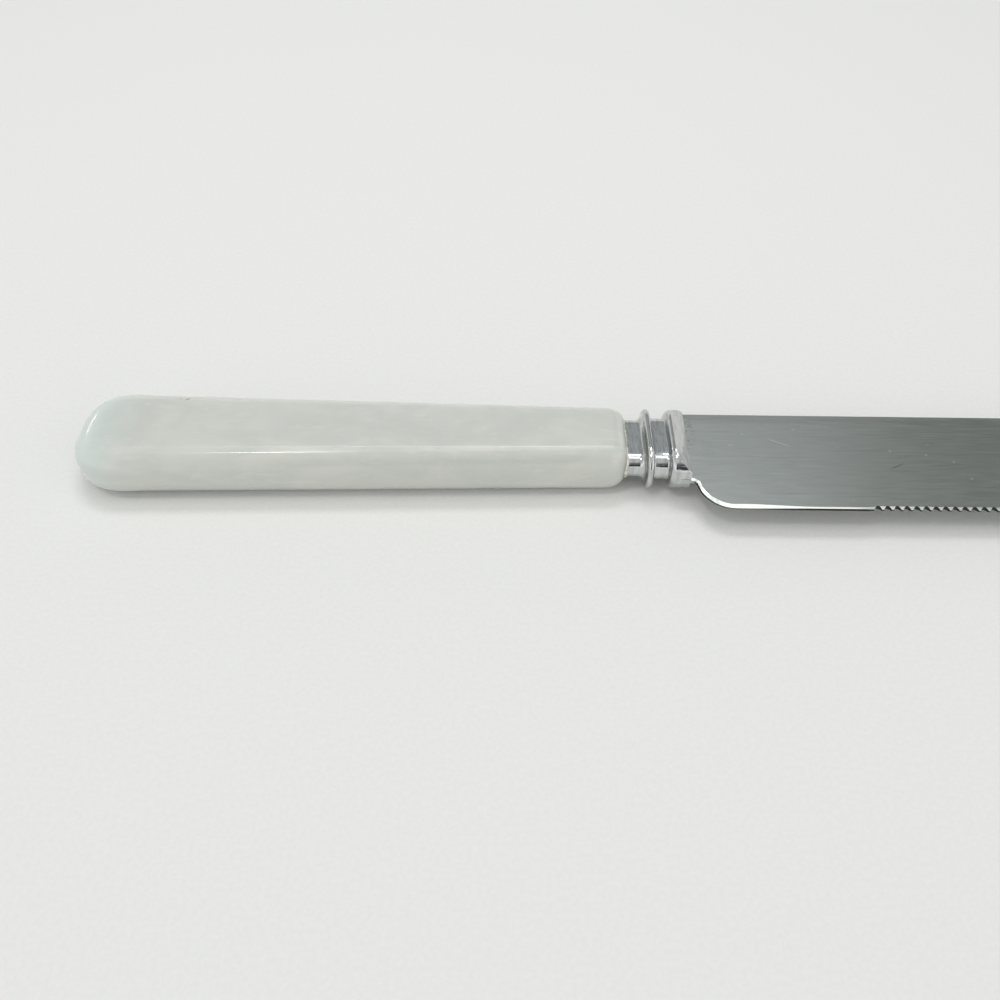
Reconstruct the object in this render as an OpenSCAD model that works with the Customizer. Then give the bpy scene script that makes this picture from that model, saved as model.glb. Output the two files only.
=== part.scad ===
// Cake knife with a pearl handle, a moulded ferrule and a scalloped blade.
// Millimetres. X runs from the butt to the tip, Y from the cutting edge to the
// spine, Z up, the knife lying on its side. The origin is on the handle's lower
// flat face, half way along the handle and under its axis.

/* [Handle] */
// Length from the butt to the ferrule joint
handle_len = 115; // [100:1:130]
// Width where the domed butt starts
butt_w = 23.2; // [21.4:0.2:26]
// Width where the handle meets the ferrule
front_w = 17.6; // [16.8:0.2:20]
// Thickness between the two flat faces
handle_t = 12.2; // [11:0.2:12.4]
// Radius of the bowed sides at the butt
butt_side_r = 6.4; // [6.3:0.1:7.4]
// Radius of the bowed sides at the ferrule end
front_side_r = 7.3; // [6.6:0.1:7.8]
// Depth of the rounding round the ferrule end
front_round = 2.4; // [1.4:0.1:2.6]
// Length of that rounding along the handle
front_len = 3.8; // [2:0.1:5]
// Length of the domed butt
dome_len = 12.5; // [9:0.5:16]
// Fullness of the dome, 2 for an ellipse
dome_power = 2.4; // [2:0.1:2.8]

/* [Tang bore] */
// Diameter of the hole drilled in the handle for the tang
bore_d = 5; // [4.8:0.1:5.1]
// Room left at the bottom of the hole behind the tang
bore_extra = 3; // [1:0.5:6]
// Angle of the drill point
drill_angle = 118; // [90:1:135]
// Thickness of the cement film between the handle and the ferrule
film_t = 0.3; // [0.2:0.05:0.5]
// Cement squeezed out past the ferrule's neck
film_lip = 0.2; // [0.05:0.05:0.4]

/* [Ferrule] */
// Length from its back face to the blade
ferrule_len = 13; // [12.6:0.1:14]
// Width of the flat band in the middle of each face
band_w = 8.4; // [8:0.2:9.6]
// Thickness of the neck next to the handle
neck_t = 5.9; // [5.2:0.1:6.4]
// Straight wall between the neck's flare and the ring's crest
ring_wall = 0.1; // [0.05:0.05:0.3]
// Thickness over the crest of the ring
ring_t = 10.7; // [9.8:0.1:11]
// Distance of the ring's crest from the back face
ring_at = 4.6; // [4.2:0.1:4.9]
// Radius of the ring's crest
crest_r = 0.7; // [0.3:0.05:0.8]
// Thickness at the bottom of the groove
groove_t = 6.8; // [6.2:0.1:7.4]
// Length of the ring's steep front flank, down to the groove
ring_fall = 0.15; // [0.05:0.05:0.9]
// Length of the groove
groove_len = 3.2; // [2.4:0.1:3.4]
// Radius of the fillet at the foot of the bolster
groove_fillet = 0.5; // [0.3:0.1:0.8]
// Thickness of the bolster
bolster_t = 10.5; // [9.6:0.1:10.8]
// Length of the slope from the bolster's crest to the blade
slope_len = 3.4; // [2.4:0.1:3.8]
// Metal left above the blade at the front of the slope
slope_lip = 1.1; // [0.2:0.1:1.5]

/* [Blade] */
// Length from the ferrule to the tip
blade_len = 194; // [160:1:230]
// Width from the spine to the cutting edge
blade_w = 26; // [24:0.5:32]
// Thickness along the spine
spine_t = 2; // [1.6:0.1:2.4]
// Thickness at the inner side of the edge bevel
bevel_t = 0.9; // [0.7:0.1:1.1]
// Thickness left on the edge itself
edge_land = 0.5; // [0.3:0.05:0.6]
// Width of the edge bevel on each face
bevel_w = 0.5; // [0.4:0.1:1]
// Radius of the heel's sweep
heel_r = 7; // [6.6:0.1:7.6]
// Radius of the fillet between the neck and the heel
heel_fillet = 1.4; // [0.8:0.1:1.8]
// Radius of the curve that brings the spine down to the tip
tip_curve_r = 45; // [38:1:60]
// Rounding of the point
tip_r = 2.5; // [1.5:0.5:4]

/* [Scallops] */
// Plain edge between the ferrule and the first notch's centre
plain_len = 36.8; // [26:0.1:50]
// Distance from notch to notch
notch_pitch = 1.95; // [1.93:0.01:2.4]
// Radius of a notch
notch_r = 0.95; // [0.75:0.05:0.95]
// Depth of a notch
notch_depth = 1.05; // [0.75:0.05:1.15]
// Plain edge left behind the tip
tip_plain = 14; // [8:1:30]

/* [Tang] */
// Depth to which the blade's shoulder is let into the ferrule
slot_depth = 2; // [1.6:0.1:2.4]
// Clearance between the blade's faces and the slot
slot_clear = 0.05; // [0.02:0.01:0.1]
// Length of the tang inside the handle
tang_len = 62; // [45:1:75]
// Width of the tang in the ferrule
tang_w = 4.2; // [3.6:0.1:4.2]
// Width of the tang at its end
tang_end_w = 3.4; // [2.8:0.2:4]
// Thickness of the tang
tang_t = 1.8; // [1.5:0.1:2]
// Solder gap round the tang in the ferrule
solder_gap = 0.4; // [0.3:0.05:0.5]

/* [Hidden] */
$fn = 96;
// overshoot of a cutting shape past the surface it cuts
over = 5;
// overlap of neighbouring bevel cutters, and step along an arc, in degrees
lap_angle = 1;
arc_angle = 4;

// handle: stations as [x, inset of the section, scale of the section], with the
// steps in degrees over the rounded end and over the dome
dome_x = dome_len - handle_len;
side_steps = 18;
round_step = 15;
dome_step = 6;
handle_stations = concat(
    [for (a = [0 : round_step : 90])
        [front_len * (cos(a) - 1), front_round * (1 - sin(a)), 1]],
    [for (a = [0 : dome_step : 90 - dome_step])
        [dome_x - dome_len * sin(a), 0, pow(1 - pow(sin(a), dome_power), 1 / dome_power)]]);

// ferrule: half thicknesses and places along its axis
band_half = band_w / 2;
neck_r = neck_t / 2;
ring_r = ring_t / 2;
groove_r = groove_t / 2;
bolster_r = bolster_t / 2;
flare_r = ring_r - crest_r - ring_wall - neck_r;
flare_at = ring_at - crest_r - flare_r;
groove_at = ring_at + crest_r + ring_fall;
bolster_at = groove_at + groove_len;
// the bolster's back shoulder carries on from the fillet at its foot
shoulder_r = bolster_r - groove_r - groove_fillet;
slot_at = film_t + ferrule_len - slot_depth;

// blade: the neck is flush with the bolster's sides
blade_x = film_t + ferrule_len;
spine_y = band_half + bolster_r;
neck_y = -spine_y;
edge_y = spine_y - blade_w;
tip_x = blade_x + blade_len;
heel_y = edge_y + heel_r;
fillet_y = neck_y - heel_fillet;
fillet_x = blade_x;
// a wide blade has a straight wall between the fillet and the heel's sweep
heel_wall = max(0, fillet_y - heel_y);
heel_rise = max(0, heel_y - fillet_y);
heel_reach = sqrt(pow(heel_r + heel_fillet, 2) - pow(heel_rise, 2));
heel_x = fillet_x + heel_reach;
heel_angle = atan2(heel_rise, heel_reach);
bevel_slope = (bevel_t - edge_land) / 2 / bevel_w;

// tip: a large circle tangent to the spine, a small one tangent to it and the edge
curve_y = spine_y - tip_curve_r;
point_y = edge_y + tip_r;
point_reach = sqrt(pow(tip_curve_r - tip_r, 2) - pow(point_y - curve_y, 2));
point_x = tip_x - tip_r;
curve_x = point_x - point_reach;
point_angle = atan2(point_y - curve_y, point_reach);

// scallops
notch_y = edge_y + notch_depth - notch_r;
notch_count = floor((blade_len - plain_len - tip_plain) / notch_pitch) + 1;

handle();
tang_cement();
ferrule();
ferrule_solder();
blade();

// Moves a shape from the knife's axis at the ferrule joint to the shared frame.
module from_axis() {
    translate([handle_len / 2, 0, handle_t / 2]) children();
}

// Extrudes a drawing of (x, z) across the knife, centred on its axis.
module across(width) {
    rotate([90, 0, 0]) linear_extrude(width, center = true) children();
}

// Extrudes a drawing of (y, z) along the knife from x to x + length.
module along(x, length) {
    translate([x, 0, 0]) rotate([90, 0, 90]) linear_extrude(length) children();
}

// Ring of points round the handle at one station: two bowed sides between two flats.
function handle_ring(station) =
    let (
        x = station[0],
        inset = station[1],
        size = station[2],
        t = 1 - x / dome_x,
        bow = butt_side_r + (front_side_r - butt_side_r) * t,
        centre = (butt_w + (front_w - butt_w) * t) / 2 - bow,
        radius = bow - inset,
        reach = asin((handle_t / 2 - inset) / radius),
        side = [for (j = [0 : side_steps])
            let (a = reach * (2 * j / side_steps - 1))
            [centre + radius * cos(a), radius * sin(a)]])
    concat(
        [for (p = side) [x, size * p[0], size * p[1]]],
        [for (j = [side_steps : -1 : 0]) [x, -size * side[j][0], size * side[j][1]]]);

// Outside of the handle, drawn through its rings and closed at the end of the butt.
module handle_body() {
    rings = len(handle_stations);
    round = 2 * (side_steps + 1);
    pole = rings * round;
    points = concat([for (st = handle_stations) each handle_ring(st)], [[-handle_len, 0, 0]]);
    walls = [for (i = [0 : rings - 2], j = [0 : round - 1])
        let (a = i * round + j, b = i * round + (j + 1) % round)
        each [[a, b, b + round], [a, b + round, a + round]]];
    butt = [for (j = [0 : round - 1])
        [pole - round + j, pole - round + (j + 1) % round, pole]];
    polyhedron(points, concat([[for (j = [round - 1 : -1 : 0]) j]], walls, butt));
}

// Drilled hole for the tang, with its drill point.
module tang_bore() {
    depth = tang_len + bore_extra;
    radius = bore_d / 2;
    point = radius / tan(drill_angle / 2);
    rotate([0, 90, 0]) rotate_extrude()
        polygon([[0, -depth - point], [radius, -depth], [radius, 0], [0, 0]]);
}

// Pearl handle: flat faces, bowed sides, domed butt and a blind hole for the tang.
module handle() {
    color("ivory") from_axis() difference() {
        handle_body();
        tang_bore();
    }
}

// Outline of a section of the ferrule: a flat band with a round at each side.
module band_outline(radius) {
    square([band_w, 2 * radius], center = true);
    for (side = [-1, 1])
        translate([side * band_half, 0]) circle(r = radius);
}

// Cement that beds the tang in the handle, with the film squeezed out at the joint. The
// film follows the handle's rounded end behind the ferrule's neck.
module tang_cement() {
    color("wheat") from_axis() difference() {
        union() {
            tang_bore();
            difference() {
                along(-front_len, front_len + film_t) band_outline(neck_r + film_lip);
                handle_body();
            }
        }
        tang();
    }
}

// Moulding of the ferrule from the neck to the bolster, drawn as (x, radius).
module ferrule_profile() {
    crest = ring_r - crest_r;
    square([ring_at, neck_r]);
    difference() {
        translate([flare_at, 0]) square([flare_r, neck_r + flare_r]);
        translate([flare_at, neck_r + flare_r]) circle(r = flare_r);
    }
    polygon([[ring_at - crest_r, 0], [ring_at - crest_r, crest], [ring_at + crest_r, crest],
        [groove_at, groove_r], [groove_at, 0]]);
    translate([ring_at, crest]) circle(r = crest_r);
    translate([groove_at, 0]) square([groove_len, groove_r]);
    difference() {
        translate([bolster_at - groove_fillet, 0])
            square([groove_fillet, groove_r + groove_fillet]);
        translate([bolster_at - groove_fillet, groove_r + groove_fillet])
            circle(r = groove_fillet);
    }
    translate([bolster_at, 0]) square([shoulder_r, bolster_r - shoulder_r]);
    translate([bolster_at + shoulder_r, bolster_r - shoulder_r]) circle(r = shoulder_r);
    translate([bolster_at + shoulder_r, 0])
        square([ferrule_len - bolster_at - shoulder_r, bolster_r]);
}

// Ferrule seen from the side, with the two slopes that run down to the blade.
module ferrule_side() {
    lip = spine_t / 2 + slope_lip;
    crest_x = ferrule_len - slope_len;
    polygon([[0, ring_r + over], [crest_x, ring_r + over], [crest_x, bolster_r],
        [ferrule_len, lip], [ferrule_len, -lip], [crest_x, -bolster_r],
        [crest_x, -ring_r - over], [0, -ring_r - over]]);
}

// Section of the blade, drawn as (y, z): a wedge with a bevel on either side of the edge.
module blade_section(clear) {
    spine = spine_t / 2 + clear;
    bevel = bevel_t / 2 + clear;
    land = edge_land / 2 + clear;
    polygon([[spine_y, spine], [edge_y + bevel_w, bevel], [edge_y, land],
        [edge_y, -land], [edge_y + bevel_w, -bevel], [spine_y, -spine]]);
}

// Plated ferrule: neck, ring, groove and bolster, slotted for the blade and its tang.
module ferrule() {
    color("silver") from_axis() difference() {
        translate([film_t, 0, 0]) intersection() {
            union() {
                across(band_w) {
                    ferrule_profile();
                    mirror([0, 1, 0]) ferrule_profile();
                }
                for (side = [0, 1])
                    mirror([0, side, 0]) translate([0, band_half, 0]) rotate([0, 90, 0])
                        rotate_extrude(angle = 180) mirror([1, -1, 0]) ferrule_profile();
            }
            across(band_w + 2 * ring_r + over) ferrule_side();
        }
        along(slot_at, slot_depth + over) blade_section(slot_clear);
        along(film_t - over, slot_at - film_t + over) tang_passage();
    }
}

// Hole through the ferrule round the tang, drawn as (y, z).
module tang_passage() {
    square([tang_w + 2 * solder_gap, tang_t + 2 * solder_gap], center = true);
}

// Solder that fills the ferrule round the tang.
module ferrule_solder() {
    color("gray") from_axis() difference() {
        along(film_t, slot_at - film_t) tang_passage();
        tang();
    }
}

// Tang: parallel through the ferrule, then tapering inside the handle.
module tang() {
    linear_extrude(tang_t, center = true)
        polygon([[slot_at, tang_w / 2], [slot_at, -tang_w / 2], [0, -tang_w / 2],
            [-tang_len, -tang_end_w / 2], [-tang_len, tang_end_w / 2], [0, tang_w / 2]]);
}

// Points of an arc from angle start to angle end, in steps of about arc_angle.
function arc(x, y, radius, start, end) =
    let (n = ceil(abs(end - start) / arc_angle))
    [for (i = [0 : n])
        let (a = start + (end - start) * i / n)
        [x + radius * cos(a), y + radius * sin(a)]];

// Plan of the blade: shoulder, fillet, heel, straight edge, point and spine.
module blade_plan() {
    difference() {
        polygon(concat(
            [[slot_at, spine_y], [slot_at, neck_y]],
            arc(fillet_x, fillet_y, heel_fillet, 90, heel_angle),
            arc(heel_x, heel_y, heel_r, 180 + heel_angle, 270),
            arc(point_x, point_y, tip_r, -90, point_angle),
            arc(curve_x, curve_y, tip_curve_r, point_angle, 90)));
        for (i = [0 : notch_count - 1])
            translate([blade_x + plain_len + i * notch_pitch, notch_y]) circle(r = notch_r);
    }
}

// Cutters that carry the edge bevel of the upper face round the heel.
module heel_bevel() {
    reach = spine_t / 2 / bevel_slope;
    low = edge_land / 2 - bevel_w * bevel_slope;
    high = edge_land / 2 + reach * bevel_slope;
    translate([heel_x, heel_y, 0]) mirror([1, 0, 0]) rotate([0, 0, -90])
        rotate_extrude(angle = 90 - heel_angle + lap_angle)
            polygon([[heel_r + bevel_w, low], [heel_r - reach, high],
                [heel_r - reach, spine_t], [heel_r + bevel_w, spine_t]]);
    if (heel_wall > 0)
        translate([fillet_x + heel_fillet, (heel_y + fillet_y) / 2, 0])
            across(heel_wall)
                polygon([[-bevel_w, low], [reach, high], [reach, spine_t],
                    [-bevel_w, spine_t]]);
    translate([fillet_x, fillet_y, 0]) rotate([0, 0, heel_angle - lap_angle])
        rotate_extrude(angle = 90 - heel_angle + lap_angle)
            polygon([[0, edge_land / 2 - heel_fillet * bevel_slope],
                [heel_fillet + reach, high],
                [heel_fillet + reach, spine_t], [0, spine_t]]);
}

// Stainless blade: ground as a wedge, scalloped, and forged in one with its tang.
module blade() {
    color("lightsteelblue") from_axis() {
        difference() {
            intersection() {
                linear_extrude(2 * spine_t, center = true) blade_plan();
                along(slot_at, blade_len + slot_depth) blade_section(0);
            }
            heel_bevel();
            mirror([0, 0, 1]) heel_bevel();
        }
        tang();
    }
}
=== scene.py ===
# %% [markdown]
# # A cake knife in numpy surfaces
# A cake knife is three main pieces and two that hold them together: a pearl resin handle, a moulded
# and plated ferrule, a scalloped steel blade, the cement that beds the tang in the handle and the
# solder that fills the ferrule. The exact model of the knife is the fixed frame of this lesson. Each
# piece that shows is rebuilt over it as a smooth surface, a function of two parameters that is worked
# out for a whole grid of points at once.

# %% Load the frame
import bmesh
import bpy
import numpy as np
from mathutils import Matrix, Vector


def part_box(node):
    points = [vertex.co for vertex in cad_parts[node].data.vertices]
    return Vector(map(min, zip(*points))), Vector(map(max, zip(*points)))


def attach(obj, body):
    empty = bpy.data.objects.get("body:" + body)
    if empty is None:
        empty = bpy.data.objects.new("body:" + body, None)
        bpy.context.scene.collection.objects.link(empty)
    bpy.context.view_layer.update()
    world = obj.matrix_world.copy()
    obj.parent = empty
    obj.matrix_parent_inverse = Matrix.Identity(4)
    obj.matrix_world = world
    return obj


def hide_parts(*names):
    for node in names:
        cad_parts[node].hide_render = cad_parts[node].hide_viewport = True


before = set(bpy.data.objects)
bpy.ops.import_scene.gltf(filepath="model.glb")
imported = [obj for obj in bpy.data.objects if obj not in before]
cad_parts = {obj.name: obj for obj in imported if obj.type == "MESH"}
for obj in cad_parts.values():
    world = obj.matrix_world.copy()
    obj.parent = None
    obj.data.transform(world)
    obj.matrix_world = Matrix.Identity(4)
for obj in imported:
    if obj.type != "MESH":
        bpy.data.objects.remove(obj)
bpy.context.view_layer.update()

print("nodes in the frame:", sorted(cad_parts))

# %% [markdown]
# ## Measures from the frame
# The frame's own boxes give the main measures. They could be typed in again, but then a change of the
# exact model would leave the surfaces behind. X runs from the butt to the tip, +Y is the side of the
# spine and Z is up. The knife lies on the handle's lower flat face. Every surface below is worked out
# from the joint between the handle and the ferrule, on the knife's axis, and is then moved to its
# place in the frame.

# %% Measures
mm = 0.001
handle_low, handle_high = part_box("handle")
ferrule_low, ferrule_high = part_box("ferrule")
blade_low, blade_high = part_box("blade")

handle_t = handle_high.z - handle_low.z
handle_len = handle_high.x - handle_low.x
joint = np.array([handle_high.x, 0.0, handle_low.z + handle_t / 2])
film_t = ferrule_low.x - handle_high.x
ferrule_len = ferrule_high.x - ferrule_low.x
ring_r = (ferrule_high.z - ferrule_low.z) / 2
spine_y = blade_high.y
edge_y = blade_low.y
spine_t = blade_high.z - blade_low.z
blade_x = ferrule_high.x - joint[0]
tip_x = blade_high.x - joint[0]
tang_len = joint[0] - blade_low.x
print(f"handle {handle_len / mm:.1f} mm, blade {(tip_x - blade_x) / mm:.1f} mm from ferrule to tip")

# %% [markdown]
# ## The camera
# The picture was taken from above the near side, and the lines of the knife give the camera away: the
# handle's outline, the ferrule's rings and the pitch of the scallops were measured in pixels, and the
# camera was turned until the exact model fell on them. A Track To constraint could aim it, but the
# picture also leans a little, so the camera's three directions are worked out and written into one
# matrix. It looks down at about half a right angle, and it stands so close that the handle's butt is
# seen a little from its right.

# %% Camera
picture_px = 1000
focal_px = 924.85
sensor_w = 36.0
nearest = 0.01
tilt_down, yaw, roll = 0.86372, 0.00697, 0.01669
eye = joint + np.array([-26.869, -136.292, 141.985]) * mm

level_share = np.cos(tilt_down)
ahead = Vector((np.sin(yaw) * level_share, np.cos(yaw) * level_share, -np.sin(tilt_down)))
level = Vector((np.cos(yaw), -np.sin(yaw), 0.0))
upright = level.cross(ahead)
right = level * np.cos(roll) + upright * np.sin(roll)
top = upright * np.cos(roll) - level * np.sin(roll)

camera_data = bpy.data.cameras.new("camera")
camera_data.sensor_width = sensor_w
camera_data.lens = focal_px / picture_px * sensor_w
camera_data.clip_start = nearest
camera = bpy.data.objects.new("camera", camera_data)
camera.matrix_world = Matrix.Translation(eye) @ Matrix((right, top, -ahead)).transposed().to_4x4()
scene = bpy.context.scene
scene.collection.objects.link(camera)
scene.camera = camera
scene.view_settings.view_transform = "Standard"
print(f"lens {camera_data.lens:.1f} mm, looking down {np.degrees(tilt_down):.1f} degrees")

# %% [markdown]
# ## From a grid of points to a mesh
# A surface of two parameters is an array of shape (u, v, 3). Its faces are the cells of that grid, so
# their corners are plain index arithmetic, with no loop over the points. Where a ring of points
# shrinks to a single point, as at the end of the butt, the doubled points are welded and the quads
# there become triangles.

# %% Grid helper
weld = 1e-7


def surface(name, grid, sharp_degrees):
    """Object with faces [u, v] -> [u + 1, v + 1] of grid[u, v] = (x, y, z), wrapped round in v.
    Edges sharper than sharp_degrees stay crisp, and all others are shaded smooth."""
    rows, columns = grid.shape[:2]
    u = np.arange(rows - 1)[:, None]
    v = np.arange(columns)[None, :]
    after = (v + 1) % columns
    quads = np.stack([u * columns + v, (u + 1) * columns + v,
                      (u + 1) * columns + after, u * columns + after], axis=-1)
    mesh = bpy.data.meshes.new(name)
    mesh.from_pydata((grid + joint).reshape(-1, 3), [], quads.reshape(-1, 4))
    close_up(mesh)
    shade(mesh, sharp_degrees)
    obj = bpy.data.objects.new(name, mesh)
    scene.collection.objects.link(obj)
    return obj


def close_up(mesh):
    """Welds doubled points and turns every face outward."""
    work = bmesh.new()
    work.from_mesh(mesh)
    bmesh.ops.remove_doubles(work, verts=work.verts, dist=weld)
    bmesh.ops.recalc_face_normals(work, faces=work.faces)
    open_edges = sum(not edge.is_manifold for edge in work.edges)
    work.to_mesh(mesh)
    work.free()
    print(f"{mesh.name}: {len(mesh.polygons)} faces, {open_edges} open edges")


def shade(mesh, sharp_degrees):
    """Smooth shading that breaks at edges sharper than sharp_degrees."""
    mesh.shade_smooth()
    mesh.set_sharp_from_angle(angle=np.radians(sharp_degrees))


# %% [markdown]
# ## From a quarter to a ring
# The handle, the ferrule and the film of cement between them share one kind of section: two flat
# faces and two bowed sides. It could be drawn as a closed curve and carried along the axis by a
# modifier. Here a quarter of it is written as a formula, from the side round to the middle of the
# flat, and the other three quarters are its reflections, so all four match exactly.

# %% Rings
def full_rings(x, section):
    """Whole rings [station, k, (x, y, z)] from quarter sections, each point used once."""
    mirror_y, mirror_z = np.array([-1, 1]), np.array([1, -1])
    ring = np.concatenate([
        section[:, :-1],
        section[:, :0:-1] * mirror_y,
        section[:, :-1] * mirror_y * mirror_z,
        section[:, :0:-1] * mirror_z], axis=1)
    along = np.broadcast_to(np.atleast_1d(x)[:, None, None], ring.shape[:2] + (1,))
    return np.concatenate([along, ring], axis=2)


def like(ring, x, radius):
    """Rings of circles at x with the given radii, whose points face the points of one ring."""
    facing = np.arctan2(ring[:, 2], ring[:, 1])
    x, radius = np.atleast_1d(x)[:, None], np.atleast_1d(radius)[:, None]
    parts = [x + 0 * facing, radius * np.cos(facing), radius * np.sin(facing)]
    return np.stack(parts, axis=-1)


# %% [markdown]
# ## The handle
# The handle is cast or cut from pearl resin, ground to two flat faces and two bowed sides, domed at
# the butt and drilled for the tang. It widens from the ferrule to the butt. The crease between a flat
# and a bow is planed to a narrow facet, whose two soft edges catch the light as two fine lines. A box
# with a Bevel modifier would come close, but its bevel has one width, and this facet grows towards
# the butt. So the tilt of the surface writes the section: the bow, an edge, the facet, an edge, the
# flat.

# %% Handle section
butt_w, front_w = 23.2 * mm, 17.6 * mm
butt_side_r, front_side_r = 6.4 * mm, 7.3 * mm
dome_len = 12.5 * mm
dome_x = dome_len - handle_len
polish = 0.003 * mm
butt_plane, front_plane = 12.8, 5.4
facet_share = 0.7
butt_soft, front_soft, crest_soft = 1.6 * mm, 0.8 * mm, 0.45 * mm
bow_steps, edge_steps, flat_steps = 28, 6, 12


def between(start, end, t):
    """start + (end - start) t."""
    return start + (end - start) * t


def planed(centre, radius, half, plane, soft):
    """Quarter sections as [station, k, (y, z)], written by the tilt q of the surface from level.
    Bow (c + r sin q, r cos q) down to q = b, plane degrees above the tilt arccos(h / r) at which it
    would meet the flat; an arc of radius soft from b to f = share b; the facet of tilt f; an arc of
    radius crest_soft from f to 0; the flat z = h."""
    arrays = np.broadcast_arrays(centre, radius, half, plane, soft)
    centre, radius, half, plane, soft = (x[:, None] for x in arrays)
    bow_end = np.arccos(half / radius) + np.radians(plane)
    facet = facet_share * bow_end
    q = between(np.pi / 2, bow_end, np.linspace(0, 1, bow_steps + 1))
    bow = np.stack([centre + radius * np.sin(q), radius * np.cos(q)], axis=-1)
    turn_y = centre + (radius - soft) * np.sin(bow_end)
    turn_z = (radius - soft) * np.cos(bow_end)
    q = between(bow_end, facet, np.linspace(0, 1, edge_steps + 1)[1:])
    low_edge = np.stack([turn_y + soft * np.sin(q), turn_z + soft * np.cos(q)], axis=-1)
    facet_rise = half - crest_soft * (1 - np.cos(facet)) - low_edge[:, -1:, 1]
    turn_y = low_edge[:, -1:, 0] - facet_rise / np.tan(facet) - crest_soft * np.sin(facet)
    q = between(facet, 0.0, np.linspace(0, 1, edge_steps + 1))
    high_z = half + crest_soft * (np.cos(q) - 1)
    high_edge = np.stack([turn_y + crest_soft * np.sin(q), high_z], axis=-1)
    inward = np.linspace(1, 0, flat_steps + 1)[1:]
    flat = np.stack([turn_y * inward, half + 0 * inward], axis=-1)
    return np.concatenate([bow, low_edge, high_edge, flat], axis=1)


def handle_sections(x, inset):
    """Quarter sections of the handle's body at x, drawn in by inset. Width, bow, planing and soft
    edge change evenly from the butt to the front."""
    t = 1 - x / dome_x
    side_r = between(butt_side_r, front_side_r, t)
    width = between(butt_w, front_w, t)
    plane = between(butt_plane, front_plane, t)
    soft = between(butt_soft, front_soft, t)
    drawn = inset + polish
    return planed(width / 2 - side_r, side_r - drawn, handle_t / 2 - drawn, plane, soft)


print(f"handle {butt_w / mm:.1f} mm wide at the butt, {front_w / mm:.1f} mm at the ferrule")

# %% [markdown]
# The dome is a superellipse, a little fuller than a ball. Under the polishing wheel the facet runs out
# on it, so the sections there are drawn towards a smooth oval of the same width and thickness. The
# hole could be cut by a boolean. As a surface the handle needs none, because it is one sheet: from the
# end of the butt over the dome, along the body, round the front end, across the end face and down the
# drilled hole to the drill point.

# %% Handle surface
front_round, front_len = 2.4 * mm, 3.8 * mm
dome_power, oval_power = 2.4, 3.3
oval_start, oval_end = 4 * mm, -0.7 * dome_len
dome_steps, body_stations, front_steps = 60, 70, 24
drill_spare, drill_half_angle = 3 * mm, 59
bore_r, bore_depth = 2.5 * mm, tang_len + drill_spare


def smooth(t):
    """3 t^2 - 2 t^3, kept between 0 and 1."""
    t = np.clip(t, 0, 1)
    return t * t * (3 - 2 * t)


def ovals(section):
    """Superellipses (w cos^(2/n) p, h sin^(2/n) p) of the width and thickness of each section."""
    width, half = section[:, :1, 0], section[:, -1:, 1]
    p = np.arctan2(section[..., 1] / half, section[..., 0] / width)
    power = 2 / oval_power
    oval_y, oval_z = width * np.abs(np.cos(p)) ** power, half * np.abs(np.sin(p)) ** power
    return np.stack([oval_y, oval_z], axis=-1)


dome_turn = np.radians(np.linspace(90, 0, dome_steps + 1))[:-1]
front_turn = np.radians(np.linspace(90, 0, front_steps + 1))[1:]
stations = np.concatenate([
    dome_x - dome_len * np.sin(dome_turn),
    np.linspace(dome_x, -front_len, body_stations),
    front_len * (np.cos(front_turn) - 1)])
inset = np.zeros(len(stations))
inset[-len(front_turn):] = front_round * (1 - np.sin(front_turn))
scale = np.ones(len(stations))
scale[:len(dome_turn)] = (1 - np.sin(dome_turn) ** dome_power) ** (1 / dome_power)

section = handle_sections(stations, inset)
oval_share = smooth((dome_x + oval_start - stations) / (oval_start - oval_end))
section = between(section, ovals(section), oval_share[:, None, None]) * scale[:, None, None]
outside = full_rings(stations, section)
drill_point = bore_r / np.tan(np.radians(drill_half_angle))
bore = like(outside[-1], [0, -bore_depth, -bore_depth - drill_point], [bore_r, bore_r, 0])
handle = surface("pearl_handle", np.concatenate([outside, bore]), sharp_degrees=40)
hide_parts("handle")

# %% [markdown]
# ## The ferrule
# The ferrule is the skilled piece of the knife. It is cast or pressed with a moulded outline, a thin
# neck, a raised ring, a hollow and a bolster, then plated and polished like a mirror. A mirror shows
# every uneven stretch, so the outline isn't drawn point by point: it is chained from arcs, and gives
# one radius for each place along the axis.

# %% Ferrule moulding
band_half = 4.2 * mm
bolster_r = spine_y - band_half
neck_r = 2.95 * mm
ring_at, crest_r = 4.6 * mm, 0.7 * mm
ring_wall, ring_fall = 0.1 * mm, 0.15 * mm
groove_r, groove_len = 3.4 * mm, 3.2 * mm
groove_fillet, foot_r = 0.5 * mm, 0.35 * mm
flare_steps, crest_steps, foot_steps, fillet_steps, shoulder_steps = 20, 24, 8, 12, 32


def arc(x, y, radius, start, end, steps):
    """Points (x + r cos a, y + r sin a) for a from start to end in degrees."""
    a = np.radians(np.linspace(start, end, steps + 1))
    return np.stack([x + radius * np.cos(a), y + radius * np.sin(a)], axis=-1)


def rounded(before, corner, after, radius, steps):
    """Points of the arc of that radius that rounds a corner between two straight lines."""
    before, corner, after = map(np.array, (before, corner, after))
    back = (before - corner) / np.linalg.norm(before - corner)
    on = (after - corner) / np.linalg.norm(after - corner)
    half_angle = np.arccos(np.clip(back @ on, -1, 1)) / 2
    middle = (back + on) / np.linalg.norm(back + on)
    centre = corner + middle * radius / np.sin(half_angle)
    sweep = np.linspace(-1, 1, steps + 1)[:, None] * (np.pi / 2 - half_angle)
    side = (on - back) / np.linalg.norm(on - back)
    return centre - radius * (np.cos(sweep) * middle - np.sin(sweep) * side)


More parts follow.
